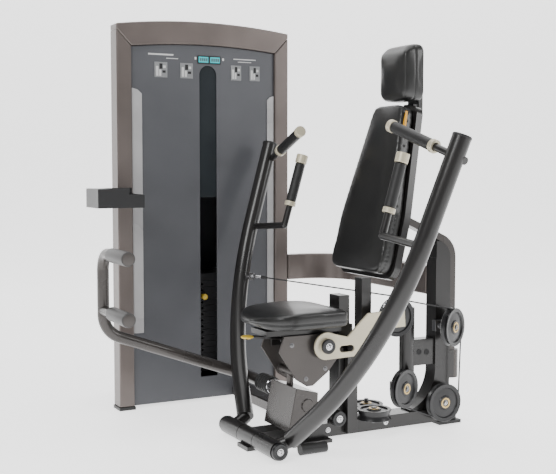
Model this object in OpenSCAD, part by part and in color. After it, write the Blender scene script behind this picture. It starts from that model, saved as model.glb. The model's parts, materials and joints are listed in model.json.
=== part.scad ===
// Seated chest press machine with a weight tower, in millimetres.
// X runs from the foot lever (-X) to the rear upright (+X), +Y points from the bench to
// the weight tower, +Z is up. The origin is on the floor under the base beam.

/* [Tower] */
// Height of the weight tower at its upper corners
tower_h = 1500; // [1460:10:1560]
// Width of the tower's front frame
tower_w = 740; // [720:10:780]
// Width of each front column
column_w = 60; // [54:1:66]
// Depth of the front frame
frame_d = 75; // [70:1:80]
// Distance from the bench centreline to the tower's front face
tower_y = 700; // [696:1:720]

/* [Press arms] */
// Radius of the press arm tube
arm_r = 30; // [28:0.5:32]
// Angle of the arm's upper straight from the plane's vertical
arm_top_angle = 7; // [5:0.5:8]
// Angle of the arm's lower straight from the plane's vertical
arm_low_angle = 46; // [44:0.5:47]
// Radius of the long bend between the two straights
arm_bend = 1040; // [1000:10:1060]
// Radius of the rubber grips
grip_r = 19; // [17:0.5:21]

/* [Bench] */
// Half the width of the seat pad
seat_half_w = 168; // [160:1:180]
// Length of the seat pad
seat_l = 345; // [320:5:350]
// Half the width of the back pad at its foot
back_half_w = 178; // [165:1:185]
// Thickness of the back pad
back_t = 58; // [50:1:60]

/* [Pulleys] */
// Outer radius of a cable pulley
pulley_r = 70; // [64:1:72]
// Thickness of a cable pulley
pulley_t = 26; // [22:1:28]
// Radius of the cable
cable_r = 2.5; // [2:0.5:3]

/* [Weight stack] */
// Number of plates that stay down when the selector pin is in
resting_plates_n = 12; // [8:1:12]
// Number of plates that are lifted with the selector pin
lifted_plates_n = 3; // [1:1:3]

/* [Hidden] */
$fn = 48;
eps = 0.01;

// Colours
bronze = "#6d5f57";
charcoal = "#4b4d52";
graphite = "#2e2d2c";
black = "#1b1b1c";
rubber_grey = "#5f605f";
champagne = "#b7ae97";
steel = "#c9cacc";
gold = "#d9a530";

// Tower layout
tower_cx = -77;
tower_x0 = tower_cx - tower_w / 2;
tower_x1 = tower_cx + tower_w / 2;
arch_rise = 25;
header_h = 90;
foot_h = 12;
slot_cx = -62;
slot_w = 74;
slot_top = 1356;
slot_low = 100;
panel_t = 6;
panel_y = tower_y + 14;
shroud_t = 4;
shroud_back = tower_y + 375;
shroud_y0 = tower_y + frame_d;
shroud_in = 110;
shroud_x = 30;
shroud_top = tower_h - 40;
stack_y = tower_y + 150;
plate_w = 290;
plate_d = 130;
plate_h = 24;
plate_gap = 1;
stack_z0 = 108;
rod_x = 100;
rod_r = 11;
rod_clear = 0.08;
stem_r = 12;
pin_r = 5;
pin_clear = 0.05;
plate_pitch = plate_h + plate_gap;
lifted_z0 = stack_z0 + resting_plates_n * plate_pitch;
top_plate_z0 = lifted_z0 + lifted_plates_n * plate_pitch;
top_plate_h = 46;
rod_top = 1320;
crown_z = 1388;

// Press arm layout, for the arm on the +Y side
pivot_x = -217;
pivot_z = 36;
shaft_r = 16;
shaft_clear = 0.05;
hub_r = 31;
hub_y0 = 60;
hub_y1 = 198;
arm_plane_x = -161;
arm_plane_z = 50;
arm_lean = 18.6;
arm_knee_s = 734;
arm_knee_y = 589;
arm_up_l = 317;
arm_low_l = 146;

// Handles, for the arm on the +Y side
press_root = [168, 606, 984];
press_tip = [137, 307, 1085];
pull_root = [70, 560, 717];
pull_low = [86, 336, 733];
pull_tip = [160, 336, 985];
bar_r = 12.5;

// Bench layout
beam_half_w = 40;
beam_z0 = 12;
beam_z1 = 60;
upright_x0 = 522;
upright_x1 = 587;
upright_y = 30;
upright_top = 620;
band_t = 26;
band_bend = 90;
band_turn = 66;
post_r = 28;
back_lean = 14.6;
shell_t = 26;
shell_block = 60;
head_x1 = 434;
post_x0 = 106;
post_x1 = 148;
post_y = 34;
lever_lug_y = -20;
seat_x0 = -248;
seat_z0 = 404;
seat_t = 76;

// Pulley centres
pulley_y = -66;
equaliser_at = [324, pulley_y, 420];
mid_at = [360, pulley_y, 158];
mid_swivel = 20;
upper_rear_at = [547, pulley_y - 34, 372];
upper_rear_swivel = 25;
lower_rear_at = [535, pulley_y, 89];
floor_a_at = [236, -60, 62];
floor_b_at = [284, 66, 62];
floor_a_t = 36;
floor_b_t = 24;
floor_pulley_r = 62;
axle_r = 8;
axle_clear = 0.05;

// Foot lever layout
lever_y = 390;
lever_x = -610;
lever_r = 21;
lever_bend = 90;
lever_pivot_x = -60;
lever_slope = 20;
lever_low_z = 368;
lever_top_z = 650;
lower_peg_z = 447;
lever_pivot_z = lever_low_z - (lever_pivot_x - lever_x) * tan(lever_slope);
bend_lap = 3;
bend_step = 0.15;
roller_y0 = 115;
roller_y1 = 292;
roller_r = 25;
peg_r = 12;
peg_clear = 0.08;
lever_pin_r = 12;
lever_pin_clear = 0.05;
barrel_y0 = 150;
barrel_y1 = 238;
barrel_r = 30;
box_half_w = 92;

// Unit direction of the straight lever run, from the pivot towards the pegs
function lever_dir() = [-cos(lever_slope), 0, sin(lever_slope)];

// A round rod from point a to point b
module rod(a, b, r) {
  d = b - a;
  len = norm(d);
  translate(a) rotate([0, acos(d[2] / len), atan2(d[1], d[0])]) cylinder(h = len, r = r);
}

// A round bend of tube in the XZ plane, from start angle to end angle about a centre
module bend_xz(centre, bend, r, start, turn) {
  translate(centre) rotate([90, 0, 0]) rotate([0, 0, start])
    rotate_extrude(angle = turn, $fn = 96) translate([bend, 0]) circle(r = r, $fn = 32);
}

// A box given by its lowest and highest corners
module box(low, high) {
  translate(low) cube(high - low);
}

// A profile in the XZ plane, extruded along Y from y0 to y1
module slab_xz(y0, y1) {
  translate([0, y1, 0]) rotate([90, 0, 0]) linear_extrude(y1 - y0) children();
}

// Runs its children as they are and again mirrored to the bench's other side
module both_sides() {
  children();
  mirror([0, 1, 0]) children();
}

/* Weight tower */

// Height of the arched top line at a place along X, for a line that starts at base_z
function arch_z(x, base_z) = base_z + arch_rise * (1 - pow((x - tower_cx) / (tower_w / 2), 2));

module column(x0) {
  box([x0, tower_y, foot_h], [x0 + column_w, tower_y + frame_d, tower_h - header_h]);
}

module tower_columns() {
  color(bronze) {
    column(tower_x0);
    column(tower_x1 - column_w);
  }
}

module tower_top_arch() {
  steps = 20;
  base = tower_h - header_h;
  xs = [for (i = [0:steps]) tower_x0 + tower_w * i / steps];
  top = [for (x = xs) [x, arch_z(x, tower_h)]];
  low = [for (i = [steps:-1:0]) [xs[i], arch_z(xs[i], base)]];
  in0 = tower_x0 + column_w;
  in1 = tower_x1 - column_w;
  inner = [for (p = low) if (p[0] > in0 + 1 && p[0] < in1 - 1) p];
  color(bronze) slab_xz(tower_y, tower_y + frame_d) polygon(concat(
    top,
    [[tower_x1, base], [in1, base], [in1, arch_z(in1, base)]],
    inner,
    [[in0, arch_z(in0, base)], [in0, base], [tower_x0, base]]
  ));
}

// Floor of the tower: a sill behind the columns and a deck that carries the stack
module tower_base() {
  deck_h = 40;
  color(graphite) {
    box([tower_x0 + column_w, tower_y + 20, foot_h], [tower_x1 - column_w, tower_y + frame_d, foot_h + 60]);
    box([-270, tower_y + frame_d, foot_h], [146, tower_y + 320, foot_h + deck_h]);
    box([slot_cx - plate_w / 2, stack_y - 40, foot_h + deck_h], [slot_cx + plate_w / 2, stack_y + 40, 80]);
  }
}

module front_panel() {
  steps = 16;
  x0 = tower_x0 + column_w;
  x1 = tower_x1 - column_w;
  top = [for (i = [0:steps]) let (x = x1 + (x0 - x1) * i / steps) [x, arch_z(x, tower_h - header_h - 1)]];
  color(charcoal) slab_xz(panel_y, panel_y + panel_t) difference() {
    polygon(concat([[x0, foot_h], [x1, foot_h]], top));
    translate([slot_cx - slot_w / 2, slot_low]) square([slot_w, slot_top - slot_w / 2 - slot_low]);
    translate([slot_cx, slot_top - slot_w / 2]) circle(d = slot_w);
  }
}

// Translucent strips beside the columns, cut to a long bow at their upper ends
module light_strips() {
  low = 300;
  color("#a7a9ab") slab_xz(panel_y - 5, panel_y - 0.2) {
    polygon([
      [tower_x0 + column_w + 2, low], [tower_x0 + column_w + 44, low],
      [tower_x0 + column_w + 44, 1236], [tower_x0 + column_w + 26, 1252], [tower_x0 + column_w + 2, 1258]
    ]);
    polygon([
      [tower_x1 - column_w - 2, low], [tower_x1 - column_w - 32, low],
      [tower_x1 - column_w - 32, 1226], [tower_x1 - column_w - 20, 1238], [tower_x1 - column_w - 2, 1244]
    ]);
  }
}

// Tinted cover over the slot, open in the lower part where the selector pin is reached
module stack_window() {
  window_low = 830;
  color("#30363a") slab_xz(panel_y + panel_t + 0.2, panel_y + panel_t + 4)
    translate([slot_cx - slot_w / 2 - 8, window_low]) square([slot_w + 16, slot_top + 8 - window_low]);
}

// Two small screens and four instruction plates on the header of the front panel
module header_plates() {
  plate_h = 60;
  color("#8b8d8e") {
    for (x = [slot_cx - 43, slot_cx + 7]) box([x, panel_y - 4, 1366], [x + 44, panel_y - 0.2, 1391]);
    for (x = [-290, -182]) box([x, panel_y - 2.2, 1302], [x + 54, panel_y - 0.2, 1302 + plate_h]);
    for (x = [38, 122]) box([x, panel_y - 2.2, 1302], [x + 46, panel_y - 0.2, 1302 + plate_h]);
  }
}

// Folded sheet cover behind the front frame, open at the front
module shroud_plan(inset) {
  x0 = tower_x0 + shroud_x + inset;
  x1 = tower_x1 - shroud_x - inset;
  polygon([
    [x0, shroud_y0 - eps], [x0, shroud_y0 + 60], [x0 + shroud_in, shroud_back - inset],
    [x1 - shroud_in, shroud_back - inset], [x1, shroud_y0 + 60], [x1, shroud_y0 - eps]
  ]);
}

module rear_shroud() {
  color(charcoal) difference() {
    translate([0, 0, foot_h]) linear_extrude(shroud_top - foot_h) shroud_plan(0);
    translate([0, 0, foot_h - 1]) linear_extrude(shroud_top - foot_h - shroud_t + 1)
      difference() {
        shroud_plan(shroud_t);
        translate([tower_x0, 0]) square([tower_w, shroud_y0]);
      }
    box([tower_x0, tower_y, 0], [tower_x1, shroud_y0, tower_h]);
  }
}

// Rubber feet under the tower, the plate under the upright and the stub foot beside the pivot
module ground_feet() {
  color(black) {
    for (x = [tower_x0, tower_x1 - column_w])
      box([x - 3, tower_y - 3, 0], [x + column_w + 3, tower_y + frame_d, foot_h]);
    for (x = [tower_x0 + 190, tower_x1 - 250])
      box([x, tower_y + 240, 0], [x + 60, tower_y + 310, foot_h]);
    box([530, -50, 0], [628, 76, beam_z0]);
    difference() {
      rod([-118, -160, 19], [-20, -160, 19], 19);
      rod([-34, -160, 19], [-10, -160, 19], 13);
    }
    box([-76, -150, 0], [-56, -70, beam_z0]);
  }
}

module guide_rods() {
  color(steel) for (x = [slot_cx - rod_x, slot_cx + rod_x])
    translate([x, stack_y, 80]) cylinder(h = rod_top - 80, r = rod_r);
}

module stack_buffers() {
  color(black) for (x = [slot_cx - rod_x, slot_cx + rod_x]) translate([x, stack_y, 80]) difference() {
    cylinder(h = stack_z0 - 80 - 0.3, r = 24);
    translate([0, 0, -1]) cylinder(h = 40, r = rod_r + rod_clear);
  }
}

// One plate of the stack, with its guide bores, stem bore and selector hole
module weight_plate(z0, h) {
  difference() {
    box([slot_cx - plate_w / 2, stack_y - plate_d / 2, z0],
        [slot_cx + plate_w / 2, stack_y + plate_d / 2, z0 + h]);
    for (x = [-rod_x, rod_x]) translate([slot_cx + x, stack_y, z0 - 1])
      cylinder(h = h + 2, r = rod_r + rod_clear);
    translate([slot_cx, stack_y, z0 - 1]) cylinder(h = h + 2, r = stem_r + rod_clear);
    translate([slot_cx, stack_y - plate_d, z0 + h / 2]) rotate([-90, 0, 0])
      cylinder(h = plate_d, r = pin_r + pin_clear);
  }
}

module resting_plates() {
  color("#3a3a3c") for (i = [0:resting_plates_n - 1]) weight_plate(stack_z0 + i * plate_pitch, plate_h);
}

module lifted_plates() {
  color("#3a3a3c") for (i = [0:lifted_plates_n - 1]) weight_plate(lifted_z0 + i * plate_pitch, plate_h);
}

module stack_top_plate() {
  color(graphite) difference() {
    union() {
      box([slot_cx - plate_w / 2, stack_y - plate_d / 2, top_plate_z0],
          [slot_cx + plate_w / 2, stack_y + plate_d / 2, top_plate_z0 + 30]);
      for (x = [-rod_x, rod_x]) translate([slot_cx + x, stack_y, top_plate_z0])
        cylinder(h = top_plate_h, r = 24);
    }
    for (x = [-rod_x, rod_x]) translate([slot_cx + x, stack_y, top_plate_z0 - 1])
      cylinder(h = top_plate_h + 2, r = rod_r + rod_clear);
    translate([slot_cx, stack_y, top_plate_z0 - 1]) cylinder(h = 40, r = stem_r + rod_clear);
  }
}

// Drilled stem that hangs from the cable through the whole stack
module selector_stem() {
  color(steel) difference() {
    union() {
      translate([slot_cx, stack_y, stack_z0]) cylinder(h = top_plate_z0 + 70 - stack_z0, r = stem_r);
      translate([slot_cx, stack_y, top_plate_z0 + 30.1]) cylinder(h = 14, r = 22, $fn = 6);
    }
    for (i = [0:resting_plates_n + lifted_plates_n - 1])
      translate([slot_cx, stack_y - 20, stack_z0 + i * plate_pitch + plate_h / 2])
        rotate([-90, 0, 0]) cylinder(h = 40, r = pin_r + pin_clear);
  }
}

// Selector pin with its round yellow head, in the lowest lifted plate
module selector_pin() {
  z = lifted_z0 + plate_h / 2;
  front = stack_y - plate_d / 2;
  color(gold) {
    translate([slot_cx, front - 8, z]) rotate([-90, 0, 0]) cylinder(h = 8 + plate_d / 2 + 10, r = pin_r);
    translate([slot_cx, front - 34, z]) rotate([-90, 0, 0]) cylinder(h = 30, r = 13);
  }
}

// Two crown pulleys on their axle blocks at the top of the tower
module crown_pulleys() {
  z = crown_z;
  r = 55;
  color(black) for (x = [slot_cx + r - 4, slot_cx + 190]) {
    translate([x, stack_y - 11, z]) rotate([-90, 0, 0]) grooved_disc(r, 22);
    translate([x, stack_y - 20, z]) rotate([-90, 0, 0]) cylinder(h = 40, r = axle_r);
    box([x - 14, stack_y + 14, z - 20], [x + 14, stack_y + 20, shroud_top - shroud_t - 1]);
  }
}

// Disc with a rope groove round its rim and a bore for its axle, along +Z from z = 0
module grooved_disc(r, t) {
  groove = 4;
  rotate_extrude($fn = 96) polygon([
    [axle_r + axle_clear, 0], [r, 0], [r, 2], [r - groove - 3, t / 2 - groove / 2],
    [r - groove - 3, t / 2 + groove / 2], [r, t - 2], [r, t], [axle_r + axle_clear, t]
  ]);
}

// Open tray beside the tower's left column, with a closed block at its front end
module accessory_tray() {
  x0 = -575;
  x1 = -395;
  y0 = 545;
  z0 = 800;
  h = 72;
  wall = 4;
  color(black) {
    difference() {
      box([x0, y0, z0], [x1, tower_y - 4, z0 + h]);
      box([x0 + 48, y0 + wall, z0 + wall], [x1 - wall, tower_y - 4 - wall, z0 + h + 1]);
      box([x1 - 60, y0 - 1, z0 + 50], [x1 + 1, tower_y - 12, z0 + h + 1]);
    }
    box([-440, tower_y - 4, z0 + 6], [-400, tower_y, z0 + 60]);
  }
}

/* Frame between tower and bench */

// Flat beam that leaves the tower towards the rear and turns to the upright
module link_beam() {
  bend = 190;
  half_t = 22;
  z0 = 480;
  z1 = 585;
  y_line = tower_y + 16;
  x_line = 540;
  color(bronze) {
    box([tower_x1, y_line - half_t, z0], [x_line - bend, y_line + half_t, z1]);
    translate([x_line - bend, y_line - bend, z0]) rotate_extrude(angle = 90, $fn = 96)
      translate([bend - half_t, 0]) square([2 * half_t, z1 - z0]);
    box([x_line - half_t, upright_y, z0], [x_line + half_t, y_line - bend, z1]);
  }
}

// Flat tube on the floor between the base beam and the tower
module floor_tube() {
  x = 80;
  color("#77736f") box([x - 40, beam_half_w, beam_z0], [x + 40, panel_y - 0.1, 52]);
}

module base_beam() {
  color(graphite) {
    difference() {
      union() {
        box([pivot_x + 8, -beam_half_w, beam_z0], [612, beam_half_w, beam_z1]);
        translate([pivot_x, hub_y0 - 3, pivot_z]) rotate([90, 0, 0]) cylinder(h = 2 * hub_y0 - 6, r = hub_r);
        translate([90, -beam_half_w, 78]) rotate([90, 0, 0]) cylinder(h = 22, r = 28);
        box([62, -beam_half_w, beam_z0], [post_x0 - 0.1, -beam_half_w + 10, 90]);
      }
      translate([pivot_x, 100, pivot_z]) rotate([90, 0, 0]) cylinder(h = 200, r = shaft_r);
    }
    box([-60, -70, 0], [60, 70, beam_z0]);
    box([pivot_x - 36, -beam_half_w, 0], [pivot_x + 36, beam_half_w, beam_z0 + 2]);
  }
}

// Upright with a foot that sweeps forward into the base beam
module rear_upright() {
  sweep = 150;
  toe = 40;
  inner_r = band_bend - band_t - 1.5;
  color(black) {
    slab_xz(-upright_y, upright_y) {
      difference() {
        translate([upright_x0 - sweep + toe, beam_z1])
          square([upright_x1 - upright_x0 + sweep - toe, upright_top - beam_z1]);
        translate([upright_x0 - sweep, beam_z1 + sweep]) circle(r = sweep, $fn = 96);
        translate([upright_x0 - sweep - 1, beam_z1 + sweep]) square([sweep + 1, upright_top]);
      }
      translate([upright_x1 - inner_r - 0.5, upright_top - eps]) intersection() {
        circle(r = inner_r, $fn = 96);
        square(inner_r);
      }
    }
    translate([upright_x1 + 27, 0, 166]) cylinder(h = 106, r = 26);
    box([upright_x1 - 20, -upright_y, 170], [upright_x1 + 20, upright_y, 272]);
  }
}

// Bent band behind the upright that turns forward at the top to carry the back pad
module upright_band() {
  half_w = 26;
  x1 = upright_x1 + band_t + 0.1;
  bar_l = 260;
  color("#3b3a39") difference() {
    union() {
      box([upright_x1 + 0.1, -half_w, 272.1], [x1, half_w, upright_top + bend_lap]);
      translate([x1 - band_bend, half_w, upright_top]) rotate([90, 0, 0])
        rotate_extrude(angle = band_turn, $fn = 96) translate([band_bend - band_t + bend_step, bend_step])
          square([band_t - 2 * bend_step, 2 * (half_w - bend_step)]);
      translate([x1 - band_bend, 0, upright_top]) rotate([0, 90 - band_turn, 0])
        translate([-bar_l, -half_w, band_bend - band_t]) cube([bar_l + bend_lap, 2 * half_w, band_t]);
    }
    on_back(-400, 400 + back_t + shell_block) translate([-300, 0]) square([600, 600]);
  }
}

// Shaft across the front of the base that both press arms turn on, with its end discs
module pivot_shaft() {
  color(steel) translate([pivot_x, 0, pivot_z]) rotate([90, 0, 0]) {
    translate([0, 0, -hub_y1 - 6]) cylinder(h = 2 * (hub_y1 + 6), r = shaft_r - shaft_clear);
    for (z = [-hub_y1 - 14, hub_y1 + 4]) translate([0, 0, z]) cylinder(h = 10, r = 28);
  }
}

// Solid of the housing, with a leaning front and a sloping lid
module box_body() {
  z0 = beam_z1 + 0.1;
  slab_xz(-box_half_w, box_half_w) polygon([[-124, z0], [-16, z0], [-10, 186], [-94, 208]]);
}

// Closed housing over the foot lever's linkage
module linkage_box() {
  color("#5b5653") {
    difference() {
      box_body();
      translate([lever_pivot_x, 100, lever_pivot_z]) rotate([90, 0, 0]) cylinder(h = 40, r = lever_pin_r);
    }
    translate([-52, -box_half_w, 146]) rotate([90, 0, 0]) cylinder(h = 5, r = 22);
  }
}

// Pin that stands out of the housing and carries the foot lever's barrel
module lever_pin() {
  color(steel) translate([lever_pivot_x, 0, lever_pivot_z]) rotate([-90, 0, 0]) {
    translate([0, 0, 62]) cylinder(h = barrel_y1 - 66, r = lever_pin_r - lever_pin_clear);
    translate([0, 0, box_half_w + 0.2]) cylinder(h = 14, r = 20);
  }
}

// Posts that carry the seat and the pulleys above the base beam
module support_posts() {
  color(graphite) {
    box([post_x0, -post_y, beam_z1], [post_x1, post_y, 505]);
    box([126, -62, 20], [166, -beam_half_w, 330]);
    box([205, -24, 240], [245, 24, 560]);
    box([post_x1, -24, 240], [205, 24, 290]);
    box([245, -16, 392], [388, 16, 418]);
    translate([415, 0, 120]) cylinder(h = 320, r = post_r);
    box([415, -post_r + 6, 226], [upright_x0, post_r - 6, 322]);
    box([mid_at[0] - 24, -40, 140], [392, -8, 176]);
    box([equaliser_at[0] - 16, -40, 392], [equaliser_at[0] + 16, -16, 440]);
  }
}

// Axles of the pulleys at the bench, with the block and the tabs that hold them
module pulley_axles() {
  end = pulley_y - pulley_t / 2 - 4;
  face = -upright_y - 22;
  normal = [sin(upper_rear_swivel), -cos(upper_rear_swivel), 0];
  mid_normal = [sin(mid_swivel), -cos(mid_swivel), 0];
  color(steel) {
    difference() {
      rod(mid_at + mid_normal * 18, mid_at - mid_normal * 40, axle_r);
      box([300, -40.1, 100], [420, 0, 200]);
    }
    rod([lower_rear_at[0], end, lower_rear_at[2]],
      [lower_rear_at[0], -upright_y - 0.1, lower_rear_at[2]], axle_r);
    rod([equaliser_at[0], -87.9, equaliser_at[2]], [equaliser_at[0], -40.1, equaliser_at[2]], axle_r);
    rod(upper_rear_at + normal * 18, upper_rear_at - normal * 60, axle_r);
    box([506, face, 352], [560, -upright_y - 0.1, 392]);
    for (at = [floor_a_at, floor_b_at]) {
      side = sign(at[1]);
      translate([at[0], at[1], at[2] - 8]) cylinder(h = 50, r = axle_r);
      box([at[0] - 20, min(side * 40.1, side * 82), 52], [at[0] + 20, max(side * 40.1, side * 82), 59]);
    }
  }
}

// Pair of sheet plates below the seat, tied by two cross bars
module side_plates() {
  color("#6f6862") {
    both_sides() slab_xz(64, 70)
      polygon([[-130, 384], [-148, 331], [-84, 233], [-41, 206], [-18, 206], [41, 248], [77, 290],
        [62, 384]]);
    translate([-70, 64, 250]) rotate([90, 0, 0]) cylinder(h = 128, r = 14);
    difference() {
      translate([-70, 0, 180]) cylinder(h = 70, r = 12);
      box_body();
    }
    box([64, -64, 296], [105.9, 64, 326]);
  }
}

// Pale plate that carries the equaliser pulley, slotted, with a capped boss at its foot
module pulley_bracket() {
  y0 = -96;
  color(champagne) {
    difference() {
      slab_xz(y0, y0 + 8) union() {
        translate([22, 344]) circle(r = 48);
        polygon([[22, 392], [104, 370], [188, 446], [340, 452], [344, 388], [196, 384], [156, 300],
          [22, 296]]);
      }
      translate([0, y0 + 9, 0]) rotate([90, 0, 0]) linear_extrude(10) {
        translate([84, 318]) square([36, 22]);
        translate([84, 329]) circle(r = 11);
        translate([120, 329]) circle(r = 11);
      }
    }
    translate([22, y0, 344]) rotate([90, 0, 0]) cylinder(h = 7, r = 24);
    translate([22, -70.1, 344]) rotate([90, 0, 0]) cylinder(h = 18, r = 18);
  }
}

/* Seat and back */

// Seat plate with its two stiffeners, the sleeve round the front post and the lever's lugs
module seat_carrier() {
  top = seat_z0 - 0.3;
  sleeve = 8;
  slide_gap = 0.3;
  color(graphite) {
    difference() {
      union() {
        box([-190, -60, 385], [100, 60, top]);
        box([post_x0 - sleeve, -post_y - sleeve, 330], [post_x1 + sleeve, post_y + sleeve, top]);
      }
      box([post_x0 - slide_gap, -post_y - slide_gap, 300], [post_x1 + slide_gap, post_y + slide_gap, 500]);
    }
    both_sides() box([-120, 42, 336], [56, 50, 385.01]);
    for (y = [lever_lug_y - 12, lever_lug_y + 6]) difference() {
      box([-112, y, 356], [-82, y + 6, 385.01]);
      translate([-97, y + 8, 368]) rotate([90, 0, 0]) cylinder(h = 10, r = 5);
    }
  }
}

// Seat cushion: round at the nose and thinner there, straight at the back
module seat_pad() {
  side = 130;
  nose_r = 205;
  x1 = seat_x0 + seat_l;
  z1 = seat_z0 + seat_t;
  color(black) intersection() {
    translate([0, 0, seat_z0 - 1]) linear_extrude(seat_t + 2) intersection() {
      translate([seat_x0 + nose_r, 0]) union() {
        circle(r = nose_r, $fn = 96);
        translate([0, -nose_r]) square([seat_l, 2 * nose_r]);
      }
      union() {
        both_sides() translate([seat_x0 + side, seat_half_w - side]) circle(r = side);
        translate([seat_x0, side - seat_half_w]) square([seat_l, 2 * (seat_half_w - side)]);
        polygon([
          [seat_x0 + side, -seat_half_w], [x1 - 20, -seat_half_w + 8], [x1, -seat_half_w + 30],
          [x1, seat_half_w - 30], [x1 - 20, seat_half_w - 8], [seat_x0 + side, seat_half_w]
        ]);
      }
    }
    slab_xz(-seat_half_w - 1, seat_half_w + 1) polygon([
      [seat_x0 - 1, seat_z0 + 24], [seat_x0 + 34, seat_z0 + 2], [seat_x0 + 50, seat_z0], [x1, seat_z0],
      [x1, z1 - 10], [x1 - 14, z1 - 2], [x1 - 60, z1], [seat_x0 + 130, z1], [seat_x0 + 60, z1 - 8],
      [seat_x0 + 24, z1 - 18], [seat_x0 + 8, z1 - 30], [seat_x0 - 1, z1 - 44]
    ]);
  }
}

// Height lever under the seat's nose, with a yellow paddle
module seat_lever() {
  y = lever_lug_y;
  color(gold) {
    translate([-243, y, 380]) cylinder(h = 9, r = 22);
    rod([-228, y, 384], [-97, y, 368], 5);
    rod([-97, y - 13, 368], [-97, y + 13, 368], 4.95);
  }
}

// Frame of the back pad: the X of its front face at a height
function back_x(z) = 180 + (z - 610) * tan(back_lean);

// Points of a corner arc, from one angle to another
function corner(cx, cy, r, from, to) =
  [for (i = [0:6]) let (a = from + (to - from) * i / 6) [cx + r * cos(a), cy + r * sin(a)]];

// Back pad seen from the front: wide at the seat, narrow at the shoulders
module back_outline(grow) {
  half = concat(
    corner(back_half_w - 45, 41, 45 + grow, -90, 0),
    [[back_half_w - 8 + grow, 220]],
    corner(66, 580, 38 + grow, 10, 90)
  );
  far = [for (i = [len(half) - 1:-1:0]) [-half[i][0], half[i][1]]];
  polygon(concat(half, far));
}

// Places a front-view outline on the leaning back plane, at a depth behind the pad's face
module on_back(depth, thickness) {
  translate([back_x(586), 0, 586]) rotate([0, back_lean, 0]) translate([depth, 0, 0])
    rotate([90, 0, 90]) linear_extrude(thickness) children();
}

module back_pad() {
  color(black) on_back(0, back_t) back_outline(-3);
}

module back_shell() {
  z0 = 1177.6;
  color("#47464a") {
    on_back(back_t + 0.4, shell_t) back_outline(0);
    on_back(back_t + shell_t, shell_block - shell_t) translate([-45, 130]) square([90, 130]);
    difference() {
      box([330, -30, 1130], [head_x1 + 0.4, 30, z0]);
      on_back(-300, 300 + back_t + shell_t) translate([-300, 0]) square([600, 700]);
    }
    box([head_x1 + 0.4, -34, 1130], [head_x1 + 18, 34, 1340]);
  }
}

module headrest_pad() {
  x0 = 334;
  r = 34;
  y = 90;
  z0 = 1178;
  z1 = 1398;
  color(black) intersection() {
    slab_xz(-y, y) polygon([
      [x0, z0 + 24], [x0 + 12, z0], [head_x1, z0], [head_x1, z1 - 6],
      [head_x1 - 16, z1], [x0 + 30, z1 - 8], [x0, z1 - 40]
    ]);
    translate([x0 - 1, 0, 0]) rotate([90, 0, 90]) linear_extrude(head_x1 - x0 + 2) polygon(concat(
      corner(y - r, z0 + r, r, -90, 0), corner(y - r, z1 - r, r, 0, 90),
      corner(r - y, z1 - r, r, 90, 180), corner(r - y, z0 + r, r, 180, 270)
    ));
  }
}

/* Press arms, drawn for the +Y side */

module in_arm_plane() {
  translate([arm_plane_x, 0, arm_plane_z]) rotate([0, arm_lean, 0]) children();
}

module press_arm() {
  bend_cy = arm_knee_y - arm_bend * cos(arm_top_angle);
  bend_cz = arm_knee_s + arm_bend * sin(arm_top_angle);
  low = [0, bend_cy + arm_bend * cos(arm_low_angle), bend_cz - arm_bend * sin(arm_low_angle)];
  knee = [0, arm_knee_y, arm_knee_s];
  up = [0, sin(arm_top_angle), cos(arm_top_angle)];
  down = [0, sin(arm_low_angle), cos(arm_low_angle)];
  foot_y = low[1] - arm_low_l * down[1];
  foot_s = low[2] - arm_low_l * down[2];
  difference() {
    union() {
      in_arm_plane() {
        rod(knee - bend_lap * up, knee + arm_up_l * up, arm_r);
        translate([0, bend_cy, bend_cz]) rotate([90, 0, 90]) rotate([0, 0, -arm_low_angle])
          rotate_extrude(angle = arm_low_angle - arm_top_angle, $fn = 160)
            translate([arm_bend, 0]) circle(r = arm_r - bend_step);
        rod(low + bend_lap * down, low - arm_low_l * down, arm_r);
      }
      rod([arm_plane_x + foot_s * sin(arm_lean), foot_y, arm_plane_z + foot_s * cos(arm_lean)],
          [pivot_x, foot_y - 26, pivot_z], 24);
      translate([pivot_x, hub_y1, pivot_z]) rotate([90, 0, 0]) cylinder(h = hub_y1 - hub_y0, r = hub_r);
    }
    translate([pivot_x, hub_y1 + 1, pivot_z]) rotate([90, 0, 0])
      cylinder(h = hub_y1 - hub_y0 + 2, r = shaft_r);
    translate([pivot_x, 0, pivot_z]) rotate([-90, 0, 0]) cylinder(h = hub_y0, r = 60);
  }
}

// Point part of the way from a to b
function between(a, b, t) = a + (b - a) * t;

// Bars of the two handles, without the stretches inside the arm tube
module handle_bars() {
  bar = bar_r - 0.3;
  rod(between(press_root, press_tip, -0.13), press_tip, bar);
  rod(between(pull_root, pull_low, -0.17), pull_low, bar);
  translate(pull_low) sphere(r = bar + 0.4);
  rod(pull_low, pull_tip, bar);
}

module sleeve(a, b, r) {
  difference() {
    rod(a, b, r);
    rod(a - (b - a) * 0.1, b + (b - a) * 0.1, bar_r);
  }
}

module grips() {
  sleeve(between(press_root, press_tip, 0.36), between(press_root, press_tip, 0.955), grip_r);
  sleeve(between(pull_low, pull_tip, 0.36), between(pull_low, pull_tip, 0.92), grip_r);
}

module collars() {
  sleeve(between(press_root, press_tip, 0.30), between(press_root, press_tip, 0.355), grip_r + 3);
  rod(between(press_root, press_tip, 0.96), press_tip + (press_tip - press_root) * 0.02, grip_r + 2);
  sleeve(between(pull_low, pull_tip, 0.29), between(pull_low, pull_tip, 0.355), grip_r + 2);
  rod(between(pull_low, pull_tip, 0.925), pull_tip + (pull_tip - pull_low) * 0.05, grip_r + 3);
}

// Ring bolt on the arm's inner side that takes the end of the arm cable
eye_at = [16, 478, 528];
module cable_eye() {
  translate(eye_at) rotate([90, 0, 0]) difference() {
    translate([0, 0, -6]) cylinder(h = 12, r = 15);
    translate([0, 0, -7]) cylinder(h = 14, r = 6);
  }
  rod(eye_at, eye_at + [-2, 30, 0], 5.9);
  rod(eye_at + [14, 0, -1], eye_at + [40, -6, -4], 5);
}

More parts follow.
